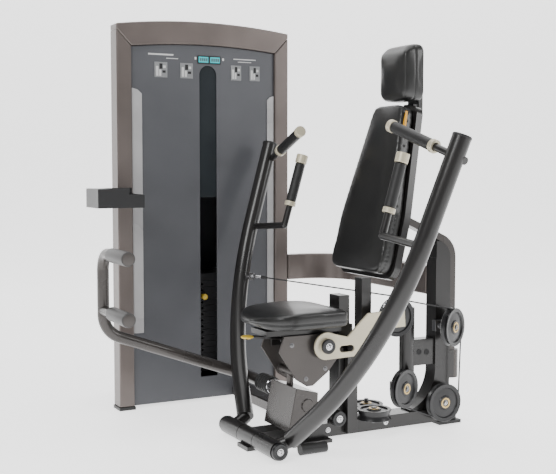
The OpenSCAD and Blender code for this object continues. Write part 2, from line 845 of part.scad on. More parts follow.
module right_press_arm() { color(graphite) press_arm(); }
module right_handle_bars() { color(graphite) trimmed_bars(); }
module right_grips() { color(black) grips(); }
module right_collars() { color(champagne) collars(); }
module right_cable_eye() { color(steel) trimmed_eye(); }
module left_press_arm() { color(graphite) mirror([0, 1, 0]) press_arm(); }
module left_handle_bars() { color(graphite) mirror([0, 1, 0]) trimmed_bars(); }
module left_grips() { color(black) mirror([0, 1, 0]) grips(); }
module left_collars() { color(champagne) mirror([0, 1, 0]) collars(); }
module left_cable_eye() { color(steel) mirror([0, 1, 0]) trimmed_eye(); }

module trimmed_bars() {
  difference() {
    handle_bars();
    press_arm();
    collar_caps();
  }
}

module collar_caps() {
  rod(between(press_root, press_tip, 0.96), press_tip + (press_tip - press_root) * 0.03, grip_r + 5);
  rod(between(pull_low, pull_tip, 0.925), pull_tip + (pull_tip - pull_low) * 0.06, grip_r + 5);
}

module trimmed_eye() {
  difference() {
    cable_eye();
    press_arm();
  }
}

/* Pulleys and cables */

// Pulley with its centre given, turned about the vertical by swivel
module pulley(at, swivel = 0) {
  color(black) translate(at) rotate([0, 0, swivel]) translate([0, pulley_t / 2, 0])
    rotate([90, 0, 0]) grooved_disc(pulley_r, pulley_t);
}

module equaliser_pulley() { pulley(equaliser_at); }
module mid_pulley() { pulley(mid_at, mid_swivel); }
module upper_rear_pulley() { pulley(upper_rear_at, upper_rear_swivel); }
module lower_rear_pulley() { pulley(lower_rear_at); }

// Two flat-lying pulleys above the base beam, the front one thicker
module floor_pulleys() {
  color(black) for (at = [floor_a_at, floor_b_at]) translate(at) difference() {
    t = at == floor_a_at ? floor_a_t : floor_b_t;
    cylinder(h = t, r = floor_pulley_r);
    translate([0, 0, -1]) cylinder(h = t + 2, r = axle_r + axle_clear);
    translate([0, 0, t / 2 - 3]) difference() {
      cylinder(h = 6, r = floor_pulley_r + 6);
      translate([0, 0, -1]) cylinder(h = 8, r = floor_pulley_r - 6);
    }
  }
}

module cable(a, b) {
  rod(a, b, cable_r);
}

// Cable from an arm's eye to the top of the equaliser pulley; side is 1 for +Y, -1 for -Y
module arm_cable(side) {
  from = [eye_at[0] + 42, side * (eye_at[1] - 7), eye_at[2] - 4];
  to = [equaliser_at[0] - 8, pulley_y + side * 6.5, equaliser_at[2] + pulley_r + 4];
  color(black) cable(from, to);
}

module right_arm_cable() { arm_cable(1); }
module left_arm_cable() { arm_cable(-1); }

// Cable from the equaliser over the two rear pulleys to the mid pulley
module drive_cable() {
  reach = pulley_r + cable_r + 0.5;
  side = [cos(upper_rear_swivel), sin(upper_rear_swivel), 0];
  color(black) {
    cable(equaliser_at + [0, 0, reach], upper_rear_at + [0, 0, reach]);
    cable(upper_rear_at + side * reach, lower_rear_at + [reach, 0, 0]);
    cable(lower_rear_at - [0, 0, reach], mid_at - [0, 0, reach]);
  }
}

// Cable inside the tower, from the selector stem up to the first crown pulley
module stack_cable() {
  color(black) cable([slot_cx, stack_y, top_plate_z0 + 70.2], [slot_cx, stack_y, crown_z]);
}

/* Foot lever */

lever_corner = [lever_x, lever_y, lever_low_z];

module foot_lever() {
  turn = 90 - lever_slope;
  side = lever_bend * tan(turn / 2);
  start = lever_corner + [0, 0, side];
  run_end = [lever_pivot_x, lever_y, lever_pivot_z];
  top_bend = 60;
  color("#4a4745") {
    rod(start - [0, 0, bend_lap], [lever_x, lever_y, lever_top_z - top_bend + bend_lap], lever_r);
    bend_xz(start + [lever_bend, 0, 0], lever_bend, lever_r - bend_step, 180, turn);
    rod(lever_corner - (side - bend_lap) * lever_dir(), run_end, lever_r);
    translate(run_end) sphere(r = lever_r + 0.4);
    rod(run_end, [lever_pivot_x, barrel_y1 + 0.2, lever_pivot_z], lever_r);
    translate([lever_x, lever_y - top_bend, lever_top_z - top_bend]) rotate([90, 0, 90])
      rotate_extrude(angle = 90, $fn = 96) translate([top_bend, 0]) circle(r = lever_r - bend_step, $fn = 32);
    rod([lever_x, lever_y - top_bend + bend_lap, lever_top_z],
      [lever_x, roller_y1 + 2, lever_top_z], lever_r);
    rod([lever_x, lever_y, lower_peg_z], [lever_x, roller_y1 + 2, lower_peg_z], lever_r - 3);
    for (z = [lever_top_z, lower_peg_z])
      rod([lever_x, roller_y1 + 3, z], [lever_x, roller_y0 + 6, z], peg_r - peg_clear);
  }
}

// Ribbed rubber barrel on the lever's cross stub, turning on the pin
module lever_barrel() {
  ribs = 5;
  pitch = (barrel_y1 - barrel_y0) / ribs;
  color(black) translate([lever_pivot_x, 0, lever_pivot_z]) rotate([-90, 0, 0]) difference() {
    union() {
      translate([0, 0, barrel_y0]) cylinder(h = barrel_y1 - barrel_y0, r = barrel_r);
      for (i = [0:ribs - 1]) translate([0, 0, barrel_y0 + pitch * (i + 0.25)])
        cylinder(h = pitch / 2, r = barrel_r + 3);
    }
    translate([0, 0, barrel_y0 - 1]) cylinder(h = barrel_y1 - barrel_y0 - 2, r = lever_pin_r);
  }
}

module foot_roller(z) {
  color(rubber_grey) difference() {
    translate([lever_x, roller_y1, z]) rotate([90, 0, 0]) cylinder(h = roller_y1 - roller_y0, r = roller_r);
    translate([lever_x, roller_y1 + 1, z]) rotate([90, 0, 0])
      cylinder(h = roller_y1 - roller_y0 - 3, r = peg_r);
  }
}

module upper_foot_roller() { foot_roller(lever_top_z); }
module lower_foot_roller() { foot_roller(lower_peg_z); }

tower_columns();
tower_top_arch();
tower_base();
front_panel();
light_strips();
stack_window();
header_plates();
rear_shroud();
ground_feet();
guide_rods();
stack_buffers();
resting_plates();
lifted_plates();
stack_top_plate();
selector_stem();
selector_pin();
crown_pulleys();
accessory_tray();
link_beam();
floor_tube();
base_beam();
rear_upright();
upright_band();
pivot_shaft();
linkage_box();
lever_pin();
pulley_axles();
support_posts();
side_plates();
pulley_bracket();
seat_carrier();
seat_pad();
seat_lever();
back_shell();
back_pad();
headrest_pad();
right_press_arm();
right_handle_bars();
right_grips();
right_collars();
right_cable_eye();
left_press_arm();
left_handle_bars();
left_grips();
left_collars();
left_cable_eye();
equaliser_pulley();
mid_pulley();
upper_rear_pulley();
lower_rear_pulley();
floor_pulleys();
right_arm_cable();
left_arm_cable();
drive_cable();
stack_cable();
foot_lever();
lever_barrel();
upper_foot_roller();
lower_foot_roller();
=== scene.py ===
"""Looks of a seated chest press machine, built round its CAD frame. Metres and radians.

The bench stands along X with its foot lever at -X, and the weight tower stands at +Y.
"""
import json
import math

import bmesh
import bpy
import numpy as np
from mathutils import Matrix, Vector
from mathutils.bvhtree import BVHTree


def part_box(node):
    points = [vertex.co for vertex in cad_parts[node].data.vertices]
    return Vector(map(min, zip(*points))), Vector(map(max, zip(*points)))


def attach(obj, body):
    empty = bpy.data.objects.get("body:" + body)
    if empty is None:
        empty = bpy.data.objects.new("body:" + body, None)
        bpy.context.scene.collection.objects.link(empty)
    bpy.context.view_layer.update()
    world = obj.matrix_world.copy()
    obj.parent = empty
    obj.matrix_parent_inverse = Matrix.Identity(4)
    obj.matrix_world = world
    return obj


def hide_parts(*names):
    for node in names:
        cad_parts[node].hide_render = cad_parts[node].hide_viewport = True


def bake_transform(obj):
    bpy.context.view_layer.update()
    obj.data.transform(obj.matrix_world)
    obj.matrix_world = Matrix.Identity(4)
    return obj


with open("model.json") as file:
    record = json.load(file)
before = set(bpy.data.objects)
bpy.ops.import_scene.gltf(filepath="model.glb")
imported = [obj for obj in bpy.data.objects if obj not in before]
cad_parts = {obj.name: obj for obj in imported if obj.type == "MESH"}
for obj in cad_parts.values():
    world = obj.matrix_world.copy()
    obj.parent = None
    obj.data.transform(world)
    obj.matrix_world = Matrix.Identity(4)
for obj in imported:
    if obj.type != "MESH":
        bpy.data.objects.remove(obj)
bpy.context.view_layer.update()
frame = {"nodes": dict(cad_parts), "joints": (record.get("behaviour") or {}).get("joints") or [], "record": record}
nodes = frame["nodes"]
record = frame["record"]
BODY = {n: b for b, members in record["behaviour"]["bodies"].items() for n in members}
SLOT = {row["node"]: row["material_slot"] for row in record["subparts"]}


# ---------------------------------------------------------------- materials
def node_of(tree, kind, **values):
    n = tree.nodes.new(kind)
    for key, value in values.items():
        if hasattr(n, key):
            setattr(n, key, value)
        else:
            n.inputs[key.replace("_", " ")].default_value = value
    return n


def material(name, colour, rough=0.4, metal=0.0, flake=0.12, flake_scale=1400.0, cloud=0.1,
             bump=0.05, bump_scale=1800.0, grain="noise", coat=0.0, rough_spread=0.08, specular=0.5):
    """Object-space procedural finish: fine flake, soft clouds of colour, varied roughness, bump."""
    m = bpy.data.materials.new(name)
    m.use_nodes = True
    t = m.node_tree
    shader = t.nodes["Principled BSDF"]
    shader.inputs["Metallic"].default_value = metal
    shader.inputs["Coat Weight"].default_value = coat
    shader.inputs["Coat Roughness"].default_value = 0.15
    shader.inputs["Specular IOR Level"].default_value = specular
    where = node_of(t, "ShaderNodeTexCoord")
    fine = node_of(t, "ShaderNodeTexNoise", Scale=flake_scale, Detail=2.0)
    broad = node_of(t, "ShaderNodeTexNoise", Scale=5.0, Detail=3.0)
    for tex in (fine, broad):
        t.links.new(where.outputs["Object"], tex.inputs["Vector"])
    low = [max(0.0, c * (1 - flake - cloud)) for c in colour]
    high = [c * (1 + flake + cloud) for c in colour]
    spread = flake + cloud + 1e-6
    share = node_of(t, "ShaderNodeMath", operation="MULTIPLY_ADD")
    t.links.new(fine.outputs["Fac"], share.inputs[0])
    share.inputs[1].default_value = flake / spread
    scaled = node_of(t, "ShaderNodeMath", operation="MULTIPLY")
    t.links.new(broad.outputs["Fac"], scaled.inputs[0])
    scaled.inputs[1].default_value = cloud / spread
    t.links.new(scaled.outputs[0], share.inputs[2])
    mix = node_of(t, "ShaderNodeMix", data_type="RGBA")
    ramp = node_of(t, "ShaderNodeMapRange")
    ramp.inputs["From Min"].default_value = 0.35
    ramp.inputs["From Max"].default_value = 0.65
    t.links.new(share.outputs[0], ramp.inputs["Value"])
    t.links.new(ramp.outputs["Result"], mix.inputs["Factor"])
    # Mix has several sockets with the same name, so the colour pair is set by place
    colours = [s for s in mix.inputs if s.type == "RGBA"]
    colours[0].default_value = (*low, 1)
    colours[1].default_value = (*high, 1)
    out = [s for s in mix.outputs if s.type == "RGBA"][0]
    t.links.new(out, shader.inputs["Base Color"])
    polish = node_of(t, "ShaderNodeMapRange")
    polish.inputs["To Min"].default_value = max(0.03, rough - rough_spread)
    polish.inputs["To Max"].default_value = rough + rough_spread
    t.links.new(broad.outputs["Fac"], polish.inputs["Value"])
    t.links.new(polish.outputs["Result"], shader.inputs["Roughness"])
    if grain == "cells":
        relief = node_of(t, "ShaderNodeTexVoronoi", feature="SMOOTH_F1", Scale=bump_scale)
        height = relief.outputs["Distance"]
    else:
        relief = node_of(t, "ShaderNodeTexNoise", Scale=bump_scale, Detail=3.0)
        height = relief.outputs["Fac"]
    t.links.new(where.outputs["Object"], relief.inputs["Vector"])
    b = node_of(t, "ShaderNodeBump", Strength=bump, Distance=0.0006)
    t.links.new(height, b.inputs["Height"])
    t.links.new(b.outputs["Normal"], shader.inputs["Normal"])
    return m


MAT = {
    "frame_bronze": material("frame_bronze", (0.135, 0.113, 0.104), 0.34, 0.5, bump=0.04, coat=0.15),
    "panel_charcoal": material("panel_charcoal", (0.072, 0.074, 0.082), 0.42, 0.15, cloud=0.06),
    "light_strip": material("light_strip", (0.36, 0.355, 0.36), 0.3, 0.0, flake=0.02, cloud=0.12),
    "tinted_window": material("tinted_window", (0.018, 0.022, 0.025), 0.16, 0.0, flake=0.02,
                              bump=0.01, specular=0.3),
    "plate_print": material("plate_print", (0.2, 0.205, 0.21), 0.4, 0.2, flake=0.05),
    "frame_dark": material("frame_dark", (0.0135, 0.0125, 0.0122), 0.3, 0.2, flake=0.25, coat=0.3),
    "band_grey": material("band_grey", (0.05, 0.044, 0.041), 0.28, 0.4, flake=0.2, coat=0.3),
    "rubber_black": material("rubber_black", (0.011, 0.011, 0.011), 0.45, bump=0.5, bump_scale=900,
                             grain="cells"),
    "rubber_grey": material("rubber_grey", (0.048, 0.046, 0.045), 0.42, bump=0.3, bump_scale=1200),
    "chrome": material("chrome", (0.78, 0.78, 0.8), 0.1, 1.0, flake=0.03, cloud=0.04, bump=0.01),
    "stack_iron": material("stack_iron", (0.02, 0.02, 0.022), 0.45, 0.2, bump=0.3, bump_scale=700),
    "yellow_plastic": material("yellow_plastic", (0.62, 0.42, 0.04), 0.28, flake=0.03, cloud=0.08,
                               bump=0.02),
    "pulley_black": material("pulley_black", (0.011, 0.011, 0.012), 0.3, flake=0.1, bump=0.12,
                             bump_scale=1100),
    "champagne_metal": material("champagne_metal", (0.56, 0.51, 0.38), 0.34, 0.3, flake=0.08,
                                cloud=0.05),
    "sheet_grey": material("sheet_grey", (0.078, 0.07, 0.066), 0.34, 0.45, flake=0.15),
    "shaft_steel": material("shaft_steel", (0.2, 0.2, 0.205), 0.3, 0.9, flake=0.08),
    "pad_leather": material("pad_leather", (0.0095, 0.0095, 0.0092), 0.32, 0.0, flake=0.1,
                            cloud=0.2, bump=0.36, bump_scale=620, grain="cells", coat=0.2, rough_spread=0.06),
    "cable_black": material("cable_black", (0.014, 0.014, 0.015), 0.38, bump=0.2, bump_scale=1500),
}
GOLD = material("hub_gold", (0.52, 0.38, 0.17), 0.28, 0.85, flake=0.05)
BOLT = material("bolt_steel", (0.6, 0.6, 0.61), 0.2, 1.0, flake=0.05)
SCREEN = material("screen_cyan", (0.03, 0.42, 0.46), 0.25, flake=0.05, cloud=0.1)
# Near-black for the screen bezels and the printed marks; on the bracket plate it is also painted shade standing
# for the inside of two holes
DARK = material("recess_dark", (0.004, 0.004, 0.0045), 0.6)
PALE = material("print_pale", (0.5, 0.5, 0.5), 0.45, flake=0.04)
THREAD = material("seam_thread", (0.016, 0.016, 0.016), 0.4, bump=0.4, bump_scale=1500)
TAG = material("tag_amber", (0.62, 0.3, 0.015), 0.4, flake=0.06)


# ---------------------------------------------------------------- mesh helpers
def add_piece(name, verts, faces, mat, body, smooth_deg=38.0):
    mesh = bpy.data.meshes.new(name)
    mesh.from_pydata([tuple(v) for v in verts], [], [tuple(f) for f in faces])
    mesh.validate()
    mesh.update()
    bm = bmesh.new()
    bm.from_mesh(mesh)
    bmesh.ops.recalc_face_normals(bm, faces=bm.faces)
    bm.to_mesh(mesh)
    bm.free()
    o = bpy.data.objects.new(name, mesh)
    bpy.context.collection.objects.link(o)
    mesh.materials.append(mat)
    mesh.shade_smooth()
    mesh.set_sharp_from_angle(angle=math.radians(smooth_deg))
    if body:
        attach(o, body)
    return o


def soften(o, width, segments=2, angle=32.0):
    """Rounds the hard edges so that they catch light."""
    b = o.modifiers.new("edge", "BEVEL")
    b.width = width
    b.segments = segments
    b.limit_method = "ANGLE"
    b.angle_limit = math.radians(angle)
    b.use_clamp_overlap = True
    b.miter_outer = "MITER_ARC"
    o.modifiers.new("normals", "WEIGHTED_NORMAL").keep_sharp = True
    return o


def plain_mesh(node, flat_deg=0.6):
    """The vertices and merged flat faces of a CAD node."""
    bm = bmesh.new()
    bm.from_mesh(nodes[node].data)
    bmesh.ops.remove_doubles(bm, verts=bm.verts, dist=2e-5)
    bmesh.ops.dissolve_limit(bm, angle_limit=math.radians(flat_deg), verts=bm.verts, edges=bm.edges)
    verts = [v.co.copy() for v in bm.verts]
    faces = [[v.index for v in f.verts] for f in bm.faces]
    bm.free()
    return verts, faces


def refine(node, width=0.0015, segments=2, mat=None):
    """A copy of a CAD node with rounded edges, which stands for it."""
    verts, faces = plain_mesh(node)
    o = add_piece(node + "_finished", verts, faces, mat or MAT[SLOT[node]], BODY[node])
    soften(o, width, segments)
    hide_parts(node)
    return o


def basis(axis):
    """Two unit vectors square to an axis."""
    axis = Vector(axis).normalized()
    side = Vector((0, 0, 1)) if abs(axis.z) < 0.9 else Vector((1, 0, 0))
    u = side.cross(axis).normalized()
    return axis, u, axis.cross(u).normalized()


def lathe(name, at, axis, profile, mat, body, sides=64, smooth_deg=30.0):
    """Turns a profile of (radius, distance along the axis) points round the axis."""
    w, u, v = basis(axis)
    at = Vector(at)
    verts, rings = [], []
    for r, d in profile:
        if r < 1e-6:
            rings.append([len(verts)])
            verts.append(at + w * d)
            continue
        rings.append([])
        for i in range(sides):
            a = 2 * math.pi * i / sides
            rings[-1].append(len(verts))
            verts.append(at + w * d + (u * math.cos(a) + v * math.sin(a)) * r)
    faces = []
    closed = profile[0][0] > 1e-6
    pairs = list(zip(rings, rings[1:])) + ([(rings[-1], rings[0])] if closed else [])
    for a, b in pairs:
        for i in range(sides):
            j = (i + 1) % sides
            if len(a) == 1 and len(b) == 1:
                continue
            if len(a) == 1:
                faces.append([a[0], b[i], b[j]])
            elif len(b) == 1:
                faces.append([a[i], a[j], b[0]])
            else:
                faces.append([a[i], a[j], b[j], b[i]])
    return add_piece(name, verts, faces, mat, body, smooth_deg)


def tube(name, path, radius, mat, body, sides=12):
    """A round rod swept along a path, with closed ends."""
    path = [Vector(p) for p in path]
    verts, faces = [], []
    side = None
    for i, p in enumerate(path):
        ahead = path[min(i + 1, len(path) - 1)] - path[max(i - 1, 0)]
        ahead.normalize()
        if side is None:
            _, side, _ = basis(ahead)
        side = (side - ahead * side.dot(ahead)).normalized()
        up = ahead.cross(side)
        for k in range(sides):
            a = 2 * math.pi * k / sides
            verts.append(p + (side * math.cos(a) + up * math.sin(a)) * radius)
    for i in range(len(path) - 1):
        for k in range(sides):
            j = (k + 1) % sides
            faces.append([i * sides + k, i * sides + j, (i + 1) * sides + j, (i + 1) * sides + k])
    faces.append(list(range(sides)))
    faces.append(list(range((len(path) - 1) * sides, len(path) * sides)))
    return add_piece(name, verts, faces, mat, body, 60.0)


def prism(name, outline, y0, y1, mat, body, width=0.0015):
    """An XZ outline pushed along Y, with softened edges."""
    n = len(outline)
    verts = [Vector((x, y0, z)) for x, z in outline] + [Vector((x, y1, z)) for x, z in outline]
    faces = [list(range(n)), list(range(n, 2 * n))]
    faces += [[i, (i + 1) % n, n + (i + 1) % n, n + i] for i in range(n)]
    o = add_piece(name, verts, faces, mat, body)
    if width:
        soften(o, width)
    return o


def block(name, low, high, mat, body, width=0.001):
    outline = [(low[0], low[2]), (high[0], low[2]), (high[0], high[2]), (low[0], high[2])]
    return prism(name, outline, low[1], high[1], mat, body, width)


def span(a, b, n):
    return [Vector(a).lerp(Vector(b), i / n) for i in range(n + 1)]


def arc(centre, u, v, radius, from_deg, to_deg, n):
    points = []
    for i in range(n + 1):
        a = math.radians(from_deg + (to_deg - from_deg) * i / n)
        points.append(Vector(centre) + Vector(u) * math.cos(a) * radius + Vector(v) * math.sin(a) * radius)
    return points


def centre_of(node):
    low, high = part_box(node)
    return (Vector(low) + Vector(high)) / 2


# ---------------------------------------------------------------- small hardware
def socket_bolt(name, at, axis, radius, body, mat=None):
    """Button-head bolt with a round socket, on a washer. The axis points out of the surface."""
    r = radius
    profile = [(0, 0), (r * 1.35, 0), (r * 1.35, r * 0.14), (r, r * 0.16), (r * 0.97, r * 0.42),
               (r * 0.78, r * 0.62), (r * 0.42, r * 0.68), (r * 0.4, r * 0.3), (0, r * 0.28)]
    return lathe(name, at, axis, profile, mat or BOLT, body, 32)


def round_cap(name, at, axis, radius, height, body, bolt=0.0):
    """Moulded end cap with a rounded rim, a shallow dish and a bolt in the middle."""
    r, h = radius, height
    profile = [(0, 0), (r, 0), (r, h * 0.55), (r * 0.97, h * 0.85), (r * 0.9, h), (r * 0.68, h),
               (r * 0.62, h * 0.82), (0, h * 0.8)]
    o = lathe(name, at, axis, profile, MAT["pulley_black"], body, 56)
    if bolt:
        socket_bolt(name + "_bolt", Vector(at) + Vector(axis).normalized() * h * 0.8, axis, bolt, body)
    return o


def wheel(node, axis, radius, thick, at=None, replace=True, suffix=""):
    """Grooved pulley with a dished web, gold bearing rings and hub bolts."""
    at = at or centre_of(node)
    w = Vector(axis).normalized()
    r, t = radius, thick / 2
    bore, hub, round_over = 0.009, 0.024, 0.0015
    groove, groove_half = 0.0068, 0.0028
    # One half of the section, from the bore out to the bottom of the groove
    half = [(bore, t), (hub, t), (hub + 0.003, t - 0.004), (r * 0.76, t - 0.006), (r * 0.8, t - 0.001),
            (r - round_over, t), (r, t - round_over), (r - 0.001, t - 0.004), (r - groove, groove_half)]
    profile = [(a, -d) for a, d in half] + half[::-1]
    name = node + suffix
    body = BODY[node]
    o = lathe(name + "_wheel", at, w, profile, MAT["pulley_black"], body, 96)
    if replace:
        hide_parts(node)
    ring_in, ring_out, ring_h, bolt_r = 0.0125, 0.0195, 0.0022, 0.0068
    ring = [(ring_in, 0), (ring_out, 0), (ring_out, ring_h - 0.001), (ring_out - 0.001, ring_h),
            (ring_in + 0.001, ring_h), (ring_in, ring_h - 0.001)]
    for side, label in ((-1, "near"), (1, "far")):
        out = w * side
        lathe(f"{name}_ring_{label}", at + out * (t - 0.0002), out, ring, GOLD, body, 48)
        socket_bolt(f"{name}_bolt_{label}", at + out * (t + 0.0001), out, bolt_r, body)


# ---------------------------------------------------------------- tower
low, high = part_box("tower_top_arch")
x0, x1 = low.x, high.x
y0, y1 = low.y, high.y
column_w = 0.06
tower_top = 1.5
header_h = 0.09
header_base = tower_top - header_h
foot_top = 0.012
rise = high.z - tower_top
mitre_drop = 0.02
gap = 0.0005
mid_x = (x0 + x1) / 2
half_w = (x1 - x0) / 2


def arch_z(x, base):
    """Height of an arched line that starts at base over the tower's outer edges."""
    return base + rise * (1 - ((x - mid_x) / half_w) ** 2)


outer_z = tower_top - mitre_drop
inner_z = arch_z(x0 + column_w, header_base)
for side, edge, name in ((1, x0, "left"), (-1, x1, "right")):
    outline = [(edge, foot_top), (edge + side * column_w, foot_top),
               (edge + side * column_w, inner_z - gap), (edge, outer_z - gap)]
    column = prism(f"tower_column_{name}", outline, y0, y1, MAT["frame_bronze"], "frame",
                   0.004)
    if side == 1:
        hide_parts("tower_columns")
steps = 40
top_line = [x0 + (x1 - x0) * i / steps for i in range(steps + 1)]
inner_line = [x1 - column_w - (x1 - x0 - 2 * column_w) * i / steps for i in range(steps + 1)]
outline = [(x0, outer_z + gap)]
outline += [(x, arch_z(x, tower_top)) for x in top_line]
outline += [(x1, outer_z + gap)]
outline += [(x, arch_z(x, header_base) + gap) for x in inner_line]
arch = prism("tower_header", outline, y0, y1, MAT["frame_bronze"], "frame", 0.004)
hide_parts("tower_top_arch")

for node, width in (
    ("tower_base", 0.003), ("front_panel", 0.001), ("light_strips", 0.0012), ("stack_window", 0.0008),
    ("rear_shroud", 0.004), ("ground_feet", 0.003), ("stack_buffers", 0.002), ("resting_plates", 0.0012),
    ("lifted_plates", 0.0012), ("stack_top_plate", 0.003), ("crown_pulleys", 0.0012),
    ("accessory_tray", 0.0022),
    ("link_beam", 0.004), ("floor_tube", 0.004), ("base_beam", 0.0035), ("rear_upright", 0.005),
    ("upright_band", 0.003), ("linkage_box", 0.004), ("support_posts", 0.003), ("side_plates", 0.0015),
    ("pulley_bracket", 0.002), ("seat_carrier", 0.002), ("back_shell", 0.009), ("foot_lever", 0.0015),
    ("lever_barrel", 0.0015), ("right_press_arm", 0.002), ("left_press_arm", 0.002),
    ("right_handle_bars", 0.001), ("left_handle_bars", 0.001), ("right_grips", 0.003), ("left_grips", 0.003),
    ("right_collars", 0.002), ("left_collars", 0.002), ("lever_pin", 0.001), ("pulley_axles", 0.001),
):
    refine(node, width)

# Header: screens, plates and plain marks that stand for the printing
face_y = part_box("header_plates")[1][1] - 0.0002
slot_cx = -0.062


def print_block(name, x_span, z_span, depth, mat, width=0.0005, sunk=0.0):
    """A thin raised plate on the header, from sunk to depth in front of its face."""
    low = (x_span[0], face_y - depth, z_span[0])
    high = (x_span[1], face_y - sunk, z_span[1])
    return block(name, low, high, mat, "frame", width)


for i, x in enumerate((slot_cx - 0.043, slot_cx + 0.007)):
    bezel = print_block(f"screen_frame_{i}", (x - 0.003, x + 0.047), (1.363, 1.394), 0.0035, DARK,
                        0.001)
    if i == 0:
        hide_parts("header_plates")
    print_block(f"screen_face_{i}", (x + 0.001, x + 0.043), (1.367, 1.39), 0.0042, SCREEN,
                width=0.0004, sunk=0.003)
    for k in range(4):
        left = x + 0.006 + k * 0.009
        print_block(f"screen_mark_{i}_{k}", (left, left + 0.006), (1.3725, 1.3845), 0.0046,
                    MAT["panel_charcoal"], 0.0002, 0.0041)
plate_low, plate_h = 1.302, 0.06
plate_spans = ((-0.29, -0.236), (-0.182, -0.128), (0.038, 0.084), (0.122, 0.168))
# Each mark is left, low, right and top, as shares of its plate
marks = ((0.12, 0.1, 0.3, 0.72), (0.38, 0.55, 0.62, 0.9), (0.36, 0.1, 0.52, 0.5),
         (0.6, 0.3, 0.86, 0.46), (0.66, 0.62, 0.86, 0.78))
for i, (a, b) in enumerate(plate_spans):
    print_block(f"guide_plate_{i}", (a, b), (plate_low, plate_low + plate_h), 0.002, MAT["plate_print"])
    w = b - a
    for k, (left, base, right, top) in enumerate(marks):
        print_block(f"guide_mark_{i}_{k}", (a + w * left, a + w * right),
                    (plate_low + plate_h * base, plate_low + plate_h * top), 0.0026,
                    DARK if k % 2 else PALE, width=0.0003, sunk=0.0019)
# Plain lines that stand for lettering: left, right, base and height
rows = ((-0.315, -0.21, 1.3885, 0.006), (-0.24, -0.19, 1.376, 0.003), (0.05, 0.15, 1.385, 0.004),
        (0.07, 0.13, 1.375, 0.003), (-0.12, -0.112, 1.378, 0.01), (0.0, 0.008, 1.378, 0.01))
for i, (a, b, z, h) in enumerate(rows):
    print_block(f"header_line_{i}", (a, b), (z, z + h), 0.0007, PALE, width=0.0002)

# Rods, stem, cable and pin of the stack
low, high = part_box("guide_rods")
rod_r, rod_gap, edge = 0.011, 0.1, 0.001
length = high[2] - low[2]
profile = [(0, 0), (rod_r - edge, 0), (rod_r, edge),
           (rod_r, length - edge), (rod_r - edge, length), (0, length)]
for i, x in enumerate((slot_cx - rod_gap, slot_cx + rod_gap)):
    rod = lathe(f"guide_rod_{i}", (x, (low[1] + high[1]) / 2, low[2]), (0, 0, 1), profile,
                MAT["chrome"], "frame", 48)
    if i == 0:
        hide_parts("guide_rods")
refine("selector_stem", 0.001)
low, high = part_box("selector_pin")
pin_x = (low[0] + high[0]) / 2
pin_z = (low[2] + high[2]) / 2
length = high[1] - low[1]
# A rounded knob, a waisted collar and the shank with its tapered tip
profile = [(0, 0), (0.009, 0.0002), (0.0122, 0.003), (0.013, 0.008), (0.0125, 0.013), (0.0085, 0.019),
           (0.0075, 0.026), (0.0095, 0.03), (0.005, 0.0305), (0.005, length - 0.003), (0.003, length),
           (0, length)]
pin = lathe("selector_pin_turned", (pin_x, low[1], pin_z), (0, 1, 0), profile, MAT["yellow_plastic"],
            "selector_pin", 40)
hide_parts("selector_pin")
low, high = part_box("stack_cable")
stack_cable_r = 0.0025
cable_y = (low[1] + high[1]) / 2
rope = tube("stack_cable_run", span((slot_cx, cable_y, low[2]), (slot_cx, cable_y, high[2]), 24),
            stack_cable_r, MAT["cable_black"], None)


# ---------------------------------------------------------------- pulleys
pulley_r, pulley_t = 0.07, 0.026
spin_axis = {j["child"]: j["axis"] for j in frame["joints"]}
for node in ("equaliser_pulley", "mid_pulley", "upper_rear_pulley", "lower_rear_pulley"):
    wheel(node, spin_axis[BODY[node]], pulley_r, pulley_t)
low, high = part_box("floor_pulleys")
floor_r, front_t, rear_t = 0.062, 0.036, 0.024
front = Vector((low[0] + floor_r, low[1] + floor_r, low[2] + front_t / 2))
rear = Vector((high[0] - floor_r, high[1] - floor_r, low[2] + rear_t / 2))
wheel("floor_pulleys", (0, 0, 1), floor_r, front_t, front, True, "_front")
wheel("floor_pulleys", (0, 0, 1), floor_r, rear_t, rear, False, "_rear")

# ---------------------------------------------------------------- cables
cable_r = 0.0026
groove_r = pulley_r - 0.0035
lead_in = 0.004
eq = centre_of("equaliser_pulley")
mid = centre_of("mid_pulley")
upper = centre_of("upper_rear_pulley")
lower = centre_of("lower_rear_pulley")
X, Z = Vector((1, 0, 0)), Vector((0, 0, 1))


def plane_side(node):
    """The level direction in a pulley's plane, towards the rear."""
    side = Vector(spin_axis[BODY[node]]).cross(Z).normalized()
    return side if side.x > 0 else -side


slant = plane_side("upper_rear_pulley")
tilt = plane_side("mid_pulley")
